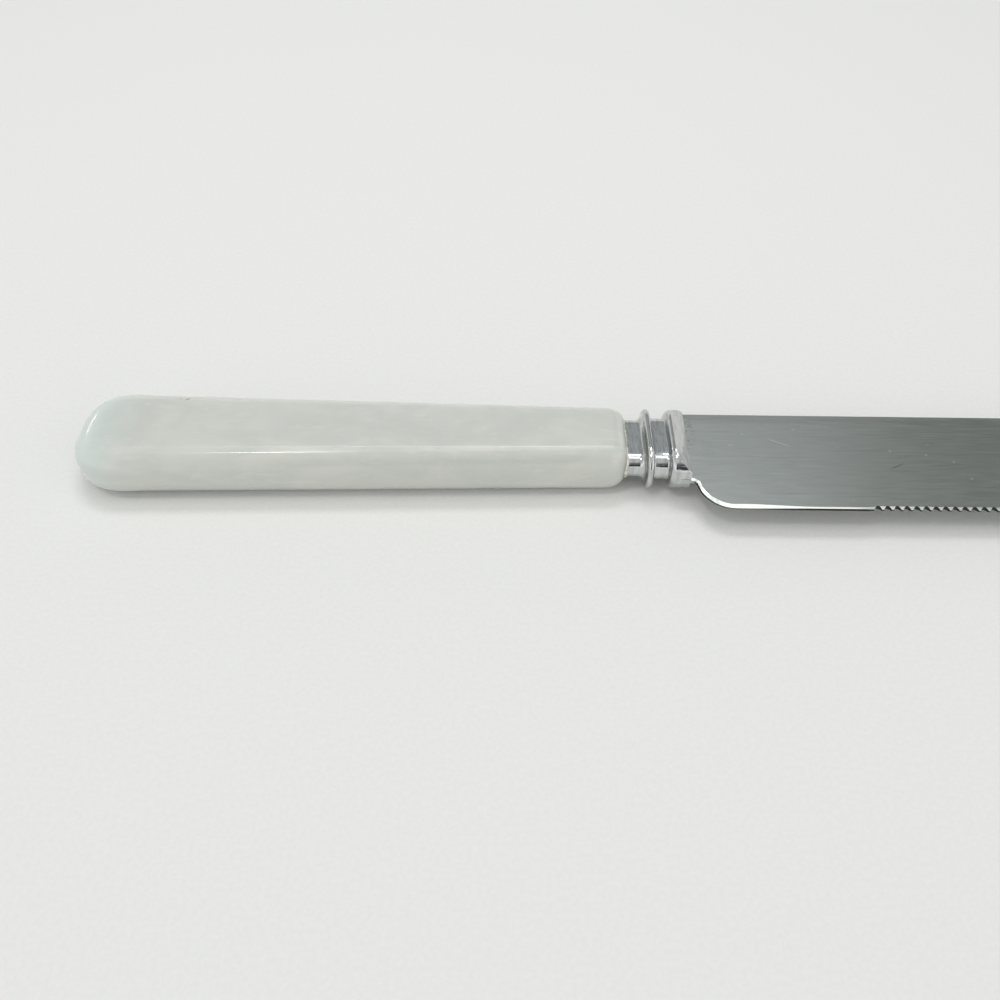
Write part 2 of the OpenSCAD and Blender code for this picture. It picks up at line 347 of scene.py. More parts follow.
flare_r = ring_r - crest_r - ring_wall - neck_r
flare_at = ring_at - crest_r - flare_r
groove_at = ring_at + crest_r + ring_fall
bolster_at = groove_at + groove_len
shoulder_r = bolster_r - groove_r - groove_fillet
crest = ring_r - crest_r
ring_foot = rounded((ring_at + crest_r, crest), (groove_at, groove_r), (bolster_at, groove_r),
                    foot_r, foot_steps)
moulding = np.concatenate([
    [[0, neck_r]],
    arc(flare_at, neck_r + flare_r, flare_r, -90, 0, flare_steps),
    arc(ring_at, crest, crest_r, 180, 0, crest_steps),
    ring_foot,
    arc(bolster_at - groove_fillet, groove_r + groove_fillet, groove_fillet, -90, 0, fillet_steps),
    arc(bolster_at + shoulder_r, bolster_r - shoulder_r, shoulder_r, 180, 90, shoulder_steps)])
print(f"moulding of {len(moulding)} points, from {neck_r / mm:.2f} to {ring_r / mm:.2f} mm radius")

# %% [markdown]
# A round moulding could be made by a Screw modifier. This one isn't round: its section is a flat band
# with a half round at each side. So each point of the moulding gives a ring of that section. At the
# front two flat slopes bring the bolster down to the blade: each ring there is cut off at the height
# of the slope, with a softened ridge where the slope begins.

# %% Ferrule surface
slope_len, slope_lip = 3.4 * mm, 1.1 * mm
ridge_soft, slope_edge_r = 0.25 * mm, 0.12 * mm
crease_steps, front_stations = 10, 30
plate_sharp = 30


def quarter(centre, radius, half, soft):
    """Quarter sections as [station, k, (y, z)], from the side round to the middle of the flat.
    Bow: (c + r cos a, r sin a) up to sin a = (h - s) / (r - s); crease: the arc of radius s that
    touches bow and flat; flat: z = h from the crease to y = 0."""
    arrays = np.broadcast_arrays(*map(np.atleast_1d, (centre, radius, half, soft)))
    centre, radius, half, soft = (x[:, None] for x in arrays)
    rise = np.clip((half - soft) / (radius - soft), 0.0, 1.0)
    last = np.arcsin(rise)
    a = last * np.linspace(0, 1, bow_steps + 1)
    bow = np.stack([centre + radius * np.cos(a), radius * np.sin(a)], axis=-1)
    a = between(last, np.pi / 2, np.linspace(0, 1, crease_steps + 1)[1:])
    crease_y = centre + (radius - soft) * np.sqrt(1 - rise ** 2)
    crease = np.stack([crease_y + soft * np.cos(a), half - soft + soft * np.sin(a)], axis=-1)
    inward = np.linspace(1, 0, flat_steps + 1)[1:]
    flat = np.stack([crease_y * inward, half + 0 * inward], axis=-1)
    return np.concatenate([bow, crease, flat], axis=1)


lip = spine_t / 2 + slope_lip
bolster_top = np.linspace(moulding[-1], (ferrule_len, bolster_r), front_stations + 1)[1:]
moulding_x, moulding_r = np.concatenate([moulding, bolster_top]).T
slope = between(bolster_r, lip, (moulding_x - ferrule_len + slope_len) / slope_len)
apart = np.maximum(ridge_soft - np.abs(moulding_r - slope), 0)
heights = np.minimum(moulding_r, slope) - apart ** 2 / (4 * ridge_soft)
skin = full_rings(moulding_x + film_t, quarter(band_half, moulding_r, heights, slope_edge_r))
ends = [like(ring, ring[0, 0], 0.0) for ring in (skin[0], skin[-1])]
ferrule = surface("plated_ferrule", np.concatenate([ends[0], skin, ends[1]]), plate_sharp)

# %% [markdown]
# The blade's shoulder sits in a slot sawn across the front of the ferrule, and its tang goes through
# a hole in the middle. Left out, blade and ferrule would run through each other. Both are cut from the
# finished moulding by exact booleans, as they are on the real piece: the slot with the blade's own
# wedge section and a hair of clearance, the hole with the solder's.

# %% Ferrule slot
bevel_t, bevel_w = 0.9 * mm, 0.5 * mm
slot_depth, slot_clear = 2 * mm, 0.05 * mm
solder_low, solder_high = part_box("ferrule_solder")
past = 5 * mm
slot_at = blade_x - slot_depth


def wedge(y):
    """Half thickness of the blade at y, from the edge bevel's inner side to the spine."""
    return between(bevel_t / 2, spine_t / 2, (y - edge_y - bevel_w) / (spine_y - edge_y - bevel_w))


def bar(half_y, low_half, high_half):
    """Corners (y, z) of a bar of half thickness low_half at y = -half_y and high_half at half_y."""
    return np.array([(-half_y, -low_half), (half_y, -high_half), (half_y, high_half), (-half_y, low_half)])


def cut(obj, name, start, end, corners, sharp_degrees):
    """Cuts a prism with (y, z) corners between x = start and x = end from a finished piece."""
    ring = np.concatenate([np.zeros((len(corners), 1)), corners], axis=1)
    middle = np.broadcast_to(ring.mean(axis=0), ring.shape)
    back, on = np.array([start, 0.0, 0.0]), np.array([end, 0.0, 0.0])
    cutter = surface(name, np.stack([middle + back, ring + back, ring + on, middle + on]), sharp_degrees)
    modifier = obj.modifiers.new(name, "BOOLEAN")
    modifier.operation = "DIFFERENCE"
    modifier.solver = "EXACT"
    modifier.object = cutter
    made = bpy.data.meshes.new_from_object(obj.evaluated_get(bpy.context.evaluated_depsgraph_get()))
    obj.modifiers.clear()
    obj.data = made
    bpy.data.objects.remove(cutter)
    shade(made, sharp_degrees)
    print(f"{name}: {len(made.polygons)} faces left on {obj.name}")


side = spine_y + past
slot_bar = bar(side, wedge(-side) + slot_clear, wedge(side) + slot_clear)
cut(ferrule, "blade_slot", slot_at, blade_x + past, slot_bar, plate_sharp)
hole_half = (solder_high.z - solder_low.z) / 2
cut(ferrule, "tang_hole", film_t - past, slot_at, bar(solder_high.y, hole_half, hole_half), plate_sharp)
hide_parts("ferrule")

# %% [markdown]
# ## The scallops
# The blade is stamped from sheet, ground to a wedge and scalloped along its edge by a row of small
# rounded notches that leave short teeth. Booleans could cut them one by one. But a notch is the same
# arch each time, a parabola set at equal steps, so one array holds the whole row.

# %% Notches
plain_len, tip_plain = 36.8 * mm, 14 * mm
notch_pitch, notch_depth, notch_half = 1.95 * mm, 0.8 * mm, 0.78 * mm
notch_points = 21
notch_count = int((tip_x - blade_x - plain_len - tip_plain) / notch_pitch) + 1
notch_x = blade_x + plain_len + notch_pitch * np.arange(notch_count)
notch_across = np.linspace(-1, 1, notch_points)
arch = edge_y + notch_depth * (1 - notch_across ** 2)
notches = np.stack(np.broadcast_arrays(notch_x[:, None] + notch_half * notch_across, arch), axis=-1)
print(f"{notch_count} notches, {notch_pitch / mm:.2f} mm apart")

# %% [markdown]
# ## The blade's outline
# Seen from above, every x has one point on the edge and one on the spine. A curve with handles could
# trace them, but the frame and a few radii fix every point. The edge is chained from curves: a fillet
# at the ferrule, the sweep of the heel, a plain stretch, the notches and the round of the point. The
# spine runs straight and then drops to the point in one wide arc.

# %% Blade outline
heel_r, heel_fillet = 7 * mm, 1.4 * mm
tip_curve_r, tip_r = 45 * mm, 2.5 * mm
neck_steps, sweep_steps, heel_steps, plain_steps, tip_steps, point_steps = 10, 16, 48, 14, 12, 20
neck_y = -spine_y
heel_y, fillet_y = edge_y + heel_r, neck_y - heel_fillet
heel_x = blade_x + np.sqrt((heel_r + heel_fillet) ** 2 - (heel_y - fillet_y) ** 2)
heel_angle = np.degrees(np.arctan2(heel_y - fillet_y, heel_x - blade_x))
point_x, point_y = tip_x - tip_r, edge_y + tip_r
curve_y = spine_y - tip_curve_r
curve_x = point_x - np.sqrt((tip_curve_r - tip_r) ** 2 - (point_y - curve_y) ** 2)


def straight(x, y):
    """Points (x, y) on a line of constant y."""
    return np.stack([x, np.full(len(x), y)], axis=-1)


edge = np.concatenate([
    straight(np.linspace(slot_at, blade_x, neck_steps + 1)[:-1], neck_y),
    arc(blade_x, fillet_y, heel_fillet, 90, heel_angle, sweep_steps),
    arc(heel_x, heel_y, heel_r, 180 + heel_angle, 270, heel_steps)[1:],
    straight(np.linspace(heel_x, notches[0, 0, 0], plain_steps + 2)[1:-1], edge_y),
    notches.reshape(-1, 2),
    straight(np.linspace(notches[-1, -1, 0], point_x, tip_steps + 2)[1:-1], edge_y),
    arc(point_x, point_y, tip_r, -90, 0, point_steps)])
edge_x, edge_line = edge.T
on_curve = curve_y + np.sqrt(np.maximum(tip_curve_r ** 2 - np.maximum(edge_x - curve_x, 0) ** 2, 0))
on_point = point_y + np.sqrt(np.maximum(tip_r ** 2 - np.maximum(edge_x - point_x, 0) ** 2, 0))
meet_x = curve_x + tip_curve_r * (point_x - curve_x) / (tip_curve_r - tip_r)
spine_line = np.where(edge_x < meet_x, on_curve, on_point)
print(f"heel swept from {heel_angle:.1f} degrees, {len(edge_x)} stations")

# %% [markdown]
# ## The blade's faces
# Between edge and spine the blade is a wedge, with a narrow bevel ground along the edge and round the
# heel. A Bevel modifier would give it one width. Here its height grows with the distance from the
# edge, which on the heel is the distance from a circle. Grinding took off more at the heel and under
# the teeth, so the edge is thinner and the bevel wider there.

# %% Blade bevel
edge_land = 0.5 * mm
bevel_slope = (bevel_t - edge_land) / 2 / bevel_w
thin_before, thin_after, plain_after = 4 * mm, 3 * mm, 14 * mm
fillet_land, heel_land, thin_land = 0.78 * mm, 0.32 * mm, 0.2 * mm
plain_land, tooth_land = 0.62 * mm, 0.38 * mm
land_x = np.array([blade_x + heel_fillet, heel_x - thin_before, heel_x + thin_after,
                   heel_x + plain_after, notch_x[0] - notch_pitch, notch_x[0]])
land_t = np.array([fillet_land, heel_land, thin_land, plain_land, plain_land, tooth_land])
halvings = 30


def edge_distance(x, y):
    """Distance from the plain edge, the heel's circle or the fillet's circle, whichever is near."""
    from_heel = heel_r - np.hypot(x - heel_x, y - heel_y)
    from_fillet = np.hypot(x - blade_x, y - fillet_y) - heel_fillet
    above = (heel_x - blade_x) * (y - fillet_y) > (heel_y - fillet_y) * (x - blade_x)
    near_heel = np.where(above, from_fillet, from_heel)
    return np.where(x < heel_x, np.where(x < blade_x, past, near_heel), y - edge_y)


def bevel(x, y):
    """Half thickness of the ground edge: land(x) / 2 + slope d(x, y)."""
    return np.interp(x, land_x, land_t) / 2 + bevel_slope * edge_distance(x, y)


def bevel_end(x, low, high):
    """y where the bevel has risen to the wedge, found by halving a range."""
    for _ in range(halvings):
        middle = (low + high) / 2
        below = bevel(x, middle) < wedge(middle)
        low, high = np.where(below, middle, low), np.where(below, high, middle)
    return high


bevel_top = bevel_end(edge_x, edge_line, spine_line)
print(f"edge {land_t.min() / mm:.2f} to {land_t.max() / mm:.2f} mm thick along the blade")

# %% [markdown]
# Even rows from edge to spine would cut across the line where the bevel ends, and blur it. So the rows
# of the grid follow that line, which stays crisp: a few rows on the bevel, then the face, then the
# small round at the spine.

# %% Blade rows
spine_round, round_share = 0.18 * mm, 0.3
least_bevel, widest_share, least_room = 0.01 * mm, 0.45, 0.03 * mm
bevel_steps, face_steps, round_steps = 3, 10, 4
bevel_rows = np.linspace(0, 1, bevel_steps + 1)
face_rows = np.linspace(0, 1, face_steps + 1)[1:]
round_rows = np.radians(np.linspace(0, 90, round_steps + 1)[1:])

room = spine_line - edge_line
widest = widest_share * np.maximum(room, least_room)
inner = edge_line + np.clip(bevel_top - edge_line, least_bevel, widest)
inner = np.minimum(inner, spine_line)
spine_soft = np.minimum(spine_round, round_share * room)[:, None]
face_end = spine_line[:, None] - spine_soft
rows_y = np.concatenate([
    between(edge_line[:, None], inner[:, None], bevel_rows),
    between(inner[:, None], face_end, face_rows),
    face_end + spine_soft * np.sin(round_rows)], axis=1)
rows_z = np.minimum(wedge(rows_y), bevel(edge_x[:, None], rows_y))
face_end_z = rows_z[:, -round_steps - 1:-round_steps]
rows_z[:, -round_steps:] = face_end_z - spine_soft * (1 - np.cos(round_rows))
upper = np.stack([np.broadcast_to(edge_x[:, None], rows_y.shape), rows_y, rows_z], axis=-1)
print(f"{rows_y.shape[1]} rows on each face of the blade")

# %% [markdown]
# The tang is made in one with the blade: a flat tail that runs through the ferrule and tapers
# inside the handle. It never shows, but the blade isn't whole without it. It could be a second mesh,
# joined on. Its rings use as many points as the blade's instead, so the shoulder is just the step from
# one ring to the next.

# %% Blade surface
tang_end_w, tang_w, tang_t = 3.4 * mm, 4.2 * mm, 1.8 * mm
tang_across = np.linspace(-1, 1, rows_y.shape[1])
tang_x = np.array([-tang_len, -tang_len, 0.0, slot_at])[:, None]
tang_y = np.array([tang_end_w, tang_end_w, tang_w, tang_w])[:, None] / 2 * tang_across
tang_z = np.array([0, tang_t, tang_t, tang_t])[:, None] / 2
tang = np.stack(np.broadcast_arrays(tang_x, tang_y, tang_z), axis=-1)
upper = np.concatenate([tang, upper])
lower = upper[:, ::-1] * np.array([1, 1, -1])
blade = surface("scalloped_blade", np.concatenate([upper, lower], axis=1), sharp_degrees=14)
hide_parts("blade")

# %% [markdown]
# ## The cement
# Resin handles are cemented on: the hole is filled, the tang is pushed in, and a little cement is
# squeezed out between the handle and the ferrule's neck. It shows as a thin, uneven cream line. An
# even ring would look like a turned washer, and a Displace modifier would also push the hidden parts,
# so a few waves of different lengths are added to the rim alone.

# %% Cement film
fit = 0.02 * mm
film_lip, film_wave, film_soft = 0.22 * mm, 0.1 * mm, 0.1 * mm
smear, smear_wave = 0.2 * mm, 0.12 * mm
hidden_share = 0.5
wave_count = np.array([5, 11, 23])
wave_height = np.array([1.0, 0.8, 0.6])
wave_start = np.array([0.6, 2.0, 4.1])


def oblong(radius):
    """Ring at x = 0 of the ferrule's section, a flat band with half rounds of that radius."""
    return full_rings(0.0, quarter(band_half, radius, radius, film_soft))[0]


film_ring = oblong(neck_r + film_lip)
film_turn = np.arctan2(film_ring[:, 2], film_ring[:, 1])
uneven = np.sin(film_turn[:, None] * wave_count + wave_start) @ wave_height / wave_height.sum()
outward = film_ring[:, 1:] / np.linalg.norm(film_ring[:, 1:], axis=1, keepdims=True)
film_ring[:, 1:] += outward * (film_wave * uneven)[:, None]
end_half = front_w / 2 - front_round
fall = np.clip((np.abs(film_ring[:, 1]) - end_half) / front_round, 0, 1)
film_back = film_ring.copy()
film_back[:, 0] = front_len * (np.sqrt(1 - fall ** 2) - 1) + fit
film_step = np.array([film_t - fit, 0, 0])
film_front = film_ring + film_step
smear_ring = oblong(neck_r - fit)
smear_ring[:, 0] = film_t + smear + smear_wave * uneven
hidden_ring = film_ring * np.array([1, hidden_share, hidden_share]) + film_step
film = np.stack([film_back, film_front, smear_ring, hidden_ring])
print(f"film {film_t / mm:.2f} mm thick, its rim uneven by {film_wave * np.ptp(uneven) / mm:.2f} mm")

# %% [markdown]
# The plug of cement is one sheet again: down the outside of the drilled hole, over the squeezed film
# and back along the tang. A boolean could hollow it for the tang, but a ring of points can turn from
# round to rectangular by itself if its points keep their directions.

# %% Cement surface
def boxed(ring, x, half_y, half_z):
    """Rectangular ring at x whose points face the points of a round ring."""
    facing = np.arctan2(ring[:, 2], ring[:, 1])
    reach = 1 / np.maximum(np.abs(np.cos(facing)) / half_y, np.abs(np.sin(facing)) / half_z)
    parts = [np.full(len(ring), x), reach * np.cos(facing), reach * np.sin(facing)]
    return np.stack(parts, axis=-1)


plug_r = bore_r - fit
plug = like(film_ring, [-bore_depth - drill_point + fit, -bore_depth, fit], [0, plug_r, plug_r])
socket = np.stack([
    boxed(film_ring, film_t - fit, tang_w / 2 + fit, tang_t / 2 + fit),
    boxed(film_ring, 0.0, tang_w / 2 + fit, tang_t / 2 + fit),
    boxed(film_ring, -tang_len - fit, tang_end_w / 2 + fit, tang_t / 2 + fit)])
socket_end = like(film_ring, -tang_len - fit, 0.0)
cement_rings = np.concatenate([plug, film, socket, socket_end])
cement = surface("tang_cement_bead", cement_rings, sharp_degrees=40)
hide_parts("tang_cement")

# %% [markdown]
# ## Materials from nodes
# Pictures could be wrapped round the pieces, but they need the surface laid out flat, and they blur
# up close. So every look below is worked out from the position on the piece, in metres: it stays sharp,
# and it stays on the knife when the knife or the camera moves. Small helpers keep the node trees
# readable: they make a node with its inputs, noise that may be stretched, soft masks, mixed colours
# and bumps.

# %% Node helpers
def plug_in(tree, made, inputs):
    """Sets each input of a node, by name or number, to a value or links it to a socket."""
    for name, value in inputs.items():
        if isinstance(value, bpy.types.NodeSocket):
            tree.links.new(value, made.inputs[name])
        else:
            made.inputs[name].default_value = value


def node(tree, kind, inputs, **settings):
    """New node with its settings and its inputs."""
    made = tree.nodes.new(kind)
    for name, value in settings.items():
        setattr(made, name, value)
    plug_in(tree, made, inputs)
    return made


def position(tree, scale, turn=(0.0, 0.0, 0.0), shift=(0.0, 0.0, 0.0)):
    """Position on the piece, scaled, turned and shifted."""
    place = node(tree, "ShaderNodeTexCoord", {}).outputs["Object"]
    inputs = {"Vector": place, "Scale": scale, "Rotation": turn, "Location": shift}
    return node(tree, "ShaderNodeMapping", inputs).outputs["Vector"]


def along_knife(tree):
    """X of the position on the piece, in metres."""
    return node(tree, "ShaderNodeSeparateXYZ", {"Vector": position(tree, (1, 1, 1))}).outputs["X"]


def noise(tree, scale, detail=4.0, distortion=0.0, turn=(0.0, 0.0, 0.0), shift=(0.0, 0.0, 0.0)):
    """Cloudy value around 0.5; scale is the number of clouds in a metre along x, y and z."""
    inputs = {"Vector": position(tree, scale, turn, shift), "Scale": 1.0, "Detail": detail,
              "Distortion": distortion}
    return node(tree, "ShaderNodeTexNoise", inputs).outputs["Fac"]


# %% Masks and mixes
mix_first, mix_second, mix_result = 6, 7, 2
noise_low, noise_high = 0.3, 0.7


def soft_step(tree, value, start, end):
    """0 where the value is at start, 1 where it is at end, smooth between."""
    inputs = {"Value": value, "From Min": start, "From Max": end}
    made = node(tree, "ShaderNodeMapRange", inputs, interpolation_type="SMOOTHSTEP")
    return made.outputs["Result"]


def span(tree, value, low, high):
    """A noise spread evenly from low to high."""
    inputs = {"Value": value, "From Min": noise_low, "From Max": noise_high, "To Min": low, "To Max": high}
    return node(tree, "ShaderNodeMapRange", inputs).outputs["Result"]


def maths(tree, operation, first, second):
    """One arithmetic step of two values or sockets."""
    return node(tree, "ShaderNodeMath", {0: first, 1: second}, operation=operation).outputs["Value"]


def blend(tree, mask, first, second):
    """First colour where the mask is 0, second where it is 1."""
    inputs = {"Factor": mask, mix_first: first, mix_second: second}
    return node(tree, "ShaderNodeMix", inputs, data_type="RGBA").outputs[mix_result]


def tinted(tree, base, mask, share, tint):
    """Base colour with a share of another colour where the mask is 1."""
    return blend(tree, maths(tree, "MULTIPLY", mask, share), base, tint)


# %% Finish helpers
def colour(red, green, blue):
    """Linear colour of an 8-bit screen colour."""
    c = np.array([red, green, blue]) / 255
    linear = np.where(c <= 0.04045, c / 12.92, ((c + 0.055) / 1.055) ** 2.4)
    return (*linear.tolist(), 1.0)


def material(name):
    """New material: the material, its node tree and its main shader."""
    made = bpy.data.materials.new(name)
    made.use_nodes = True
    return made, made.node_tree, made.node_tree.nodes["Principled BSDF"]


def bump(tree, height, distance, strength=1.0):
    """Normal of a surface raised by height times distance in metres."""
    inputs = {"Height": height, "Distance": distance, "Strength": strength}
    return node(tree, "ShaderNodeBump", inputs).outputs["Normal"]


def near(tree, at, size, turn=0.0):
    """1 at a place (x, y) on the knife, falling to 0 at the two radii of a turned ellipse."""
    place = node(tree, "ShaderNodeTexCoord", {}).outputs["Object"]
    inputs = {"Vector": place, "Location": (*at, 0.0), "Rotation": (0.0, 0.0, turn), "Scale": (*size, 1.0)}
    local = node(tree, "ShaderNodeMapping", inputs, vector_type="TEXTURE").outputs["Vector"]
    flat = node(tree, "ShaderNodeVectorMath", {0: local, 1: (1.0, 1.0, 0.0)}, operation="MULTIPLY")
    length = node(tree, "ShaderNodeVectorMath", {0: flat.outputs["Vector"]}, operation="LENGTH")
    return soft_step(tree, length.outputs["Value"], 1.0, 0.5)


def dress(piece, look):
    """Gives a piece its material."""
    piece.data.materials.append(look)
    print(f"{look.name}: {len(look.node_tree.nodes)} nodes on {piece.name}")


# %% [markdown]
# ### Pearl resin
# Pearl resin is a clear casting with fine flakes in it, stirred before it sets. It shows pale clouds
# and slanted streaks that differ by only a few shades, under a glossy skin that years of washing have
# left a little uneven. One colour would look like plain plastic, so noises of three sizes are laid over
# each other, and a nick and some chips mark the crease.

# %% Pearl material
blue_reach = 4 * mm
nick_at, nick_size, nick_turn = (-34.8 * mm, 7.1 * mm), (0.55 * mm, 0.28 * mm), 0.5
chips_at, chips_size = (-37.5 * mm, 6.9 * mm), (5.0 * mm, 0.6 * mm)

pearl, tree, shader = material("pearl_resin")
clouds = noise(tree, (70, 130, 130), 3.0, 1.2, turn=(0, 0, 0.5))
streaks = noise(tree, (150, 620, 620), 5.0, 1.6, turn=(0, 0, 0.7))
flakes = noise(tree, (2400, 2400, 2400), 2.0)
base = blend(tree, soft_step(tree, clouds, 0.3, 0.7), colour(197, 200, 194), colour(205, 206, 200))
base = tinted(tree, base, soft_step(tree, streaks, 0.52, 0.75), 0.5, colour(212, 213, 206))
base = tinted(tree, base, soft_step(tree, flakes, 0.6, 0.8), 0.25, colour(220, 222, 218))
blue_start, blue_full = float(joint[0] + dome_x + blue_reach), float(handle_low.x)
blue_end = soft_step(tree, along_knife(tree), blue_start, blue_full)
base = tinted(tree, base, blue_end, 0.7, colour(200, 213, 212))
base = blend(tree, near(tree, nick_at, nick_size, nick_turn), base, colour(112, 104, 98))
chips = soft_step(tree, noise(tree, (900, 900, 900), 2.0), 0.6, 0.66)
chipped = maths(tree, "MULTIPLY", chips, near(tree, chips_at, chips_size))
base = tinted(tree, base, chipped, 0.6, colour(150, 142, 134))
wobble = noise(tree, (60, 180, 180), 2.0)
plug_in(tree, shader, {
    "Base Color": base,
    "Roughness": span(tree, noise(tree, (160, 300, 300), 4.0), 0.1, 0.2),
    "Subsurface Weight": 0.6,
    "Subsurface Scale": 0.005,
    "Subsurface Radius": (1.0, 0.95, 0.88),
    "Coat Weight": 0.3,
    "Coat Roughness": 0.06,
    "Normal": bump(tree, wobble, 0.03 * mm, 0.5)})
dress(handle, pearl)

# %% [markdown]
# ### Plate
# The ferrule's plate is a mirror. What makes it look real are its small faults: a haze of fine
# scratches, pits where the plate has lifted, and the shallow waves that buffing leaves. They are far
# finer than the mesh, so they aren't modelled but go into the roughness, the colour and a bump.

# %% Plate material
plate, tree, shader = material("ferrule_plate")
haze = noise(tree, (1500, 260, 260), 5.0, 0.5)
pits = noise(tree, (1500, 1500, 1500), 2.0)
pit_mask = soft_step(tree, pits, 0.70, 0.74)
base = blend(tree, soft_step(tree, haze, 0.35, 0.7), colour(209, 211, 211), colour(184, 186, 185))
base = blend(tree, pit_mask, base, colour(120, 118, 112))
rough = maths(tree, "ADD", span(tree, haze, 0.06, 0.13), maths(tree, "MULTIPLY", pit_mask, 0.3))
fine = noise(tree, (500, 2600, 2600), 3.0)
buffing = noise(tree, (420, 260, 260), 1.0)
height = maths(tree, "ADD", buffing, maths(tree, "MULTIPLY", fine, 0.06))
plug_in(tree, shader, {
    "Base Color": base,
    "Metallic": 1.0,
    "Roughness": rough,
    "Normal": bump(tree, height, 0.1 * mm, 0.8)})
dress(ferrule, plate)

# %% [markdown]
# ### Blade steel
# The blade is brushed along its length, so its light is drawn out sideways. The shader could do this by
# its own anisotropy, which needs a direction on every face. A noise drawn out along X, as a fine bump,
# does the same and shows the single lines of the brushing too.

# %% Steel grain
steel, tree, shader = material("blade_steel")
grain = noise(tree, (160, 5200, 5200), 4.0)
lines = noise(tree, (60, 3000, 3000), 2.0, shift=(3, 7, 1))
stain = noise(tree, (90, 130, 130), 4.0, 1.0)
base = blend(tree, soft_step(tree, grain, 0.3, 0.7), colour(194, 198, 195), colour(200, 204, 201))
base = tinted(tree, base, soft_step(tree, stain, 0.5, 0.75), 0.2, colour(184, 189, 184))
base = tinted(tree, base, soft_step(tree, lines, 0.66, 0.75), 0.3, colour(226, 228, 226))
base = tinted(tree, base, soft_step(tree, lines, 0.34, 0.26), 0.25, colour(160, 164, 160))
print("grain, lines and stain laid over the steel")

# %% [markdown]
# Use has added a long slanted scratch, a few bright specks, a dull rub and dried spots next to the
# ferrule, where a cloth doesn't reach. They could be painted on the blade. As soft ellipses, each at
# its place, they need no painting and can be moved by a number.

# %% Steel marks
scratch_at, scratch_size, scratch_turn = (90.7 * mm, 1.3 * mm), (3.2 * mm, 0.11 * mm), -0.43
speck_places_mm = ((113.9, -0.8), (121.3, -1.8), (126.6, -3.7), (128.9, -8.3))
speck_r = 0.3 * mm
rub_at, rub_size, rub_turn = (114.3 * mm, -5.1 * mm), (2.2 * mm, 0.3 * mm), 0.43
spots_at, spots_size = (71.5 * mm, 4.2 * mm), (2.2 * mm, 6.5 * mm)

scratch = near(tree, scratch_at, scratch_size, scratch_turn)
specks = soft_step(tree, noise(tree, (1500, 1500, 1500), 1.0, shift=(5, 2, 0)), 0.76, 0.8)
for speck_x, speck_y in speck_places_mm:
    speck = near(tree, (speck_x * mm, speck_y * mm), (speck_r, speck_r))
    specks = maths(tree, "MAXIMUM", specks, speck)
rub = near(tree, rub_at, rub_size, rub_turn)
spots = soft_step(tree, noise(tree, (1500, 2200, 1500), 4.0), 0.5, 0.6)
spots = maths(tree, "MULTIPLY", spots, near(tree, spots_at, spots_size))
base = tinted(tree, base, scratch, 0.7, colour(246, 247, 245))
base = tinted(tree, base, specks, 0.6, colour(240, 242, 240))
base = tinted(tree, base, rub, 0.5, colour(150, 153, 151))
base = tinted(tree, base, spots, 0.6, colour(140, 145, 136))
print(f"{len(speck_places_mm)} specks set by place, besides the scattered ones")

# %% [markdown]
# The narrow walls of the edge, the notches and the spine aren't brushed, so they are rougher than the
# faces. Their colour is darkened as painted shade: it stands in for the shade there, not for a darker
# steel. A second material could be given to those faces one by one. A mask on the direction of the
# surface finds them all, and it fades out next to the ferrule.

# %% Steel walls
bare_len = 1.2 * mm


def normal_z(tree):
    """Upright part of the surface's direction: 1 on top, 0 on a wall, -1 underneath."""
    facing = node(tree, "ShaderNodeNewGeometry", {}).outputs["Normal"]
    return node(tree, "ShaderNodeSeparateXYZ", {"Vector": facing}).outputs["Z"]


walls_painted_dark = soft_step(tree, maths(tree, "ABSOLUTE", normal_z(tree), 0.0), 0.6, 0.3)
wall_start, wall_full = float(ferrule_high.x), float(ferrule_high.x + bare_len)
free_edge = soft_step(tree, along_knife(tree), wall_start, wall_full)
walls_painted_dark = maths(tree, "MULTIPLY", walls_painted_dark, free_edge)
# painted shade: the walls' base colour is darkened to stand in for their shade, not for darker steel
base = blend(tree, walls_painted_dark, base, colour(70, 70, 68))
rough = maths(tree, "ADD", span(tree, grain, 0.2, 0.26), maths(tree, "MULTIPLY", spots, 0.05))
rough = maths(tree, "ADD", rough, maths(tree, "MULTIPLY", walls_painted_dark, 0.3))
height = maths(tree, "ADD", grain, maths(tree, "MULTIPLY", lines, 0.4))
plug_in(tree, shader, {
    "Base Color": base,
    "Metallic": 1.0,
    "Roughness": rough,
    "Normal": bump(tree, height, 0.003 * mm, 0.3)})
dress(blade, steel)

# %% [markdown]
# ### Cement and solder
# The cement is a dull cream that has yellowed and taken up dirt. The solder is hidden inside the
# ferrule. It could be rebuilt too, but nothing of it shows, so it keeps its exact node and gets a grey,
# slightly rough metal.

# %% Cement and solder materials
cream, tree, shader = material("cement")
dirt = noise(tree, (900, 900, 900), 4.0)
base = blend(tree, soft_step(tree, dirt, 0.42, 0.62), colour(222, 222, 210), colour(184, 184, 162))
plug_in(tree, shader, {
    "Base Color": base,
    "Roughness": span(tree, dirt, 0.5, 0.75),
    "Normal": bump(tree, dirt, 0.08 * mm)})
dress(cement, cream)

solder_look, tree, shader = material("solder")
dull = noise(tree, (700, 700, 700), 4.0)
base = blend(tree, soft_step(tree, dull, 0.35, 0.65), colour(150, 152, 154), colour(178, 180, 181))
plug_in(tree, shader, {"Base Color": base, "Metallic": 1.0, "Roughness": span(tree, dull, 0.35, 0.55)})
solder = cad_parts["ferrule_solder"]
solder.data.materials.clear()
dress(solder, solder_look)

# %% [markdown]
# ## Floor and light
# The knife lies on a plain pale floor, one large square. A bent backdrop could hide the horizon, but
# this camera looks down and sees only the floor. A trace of fibre keeps it from looking drawn.

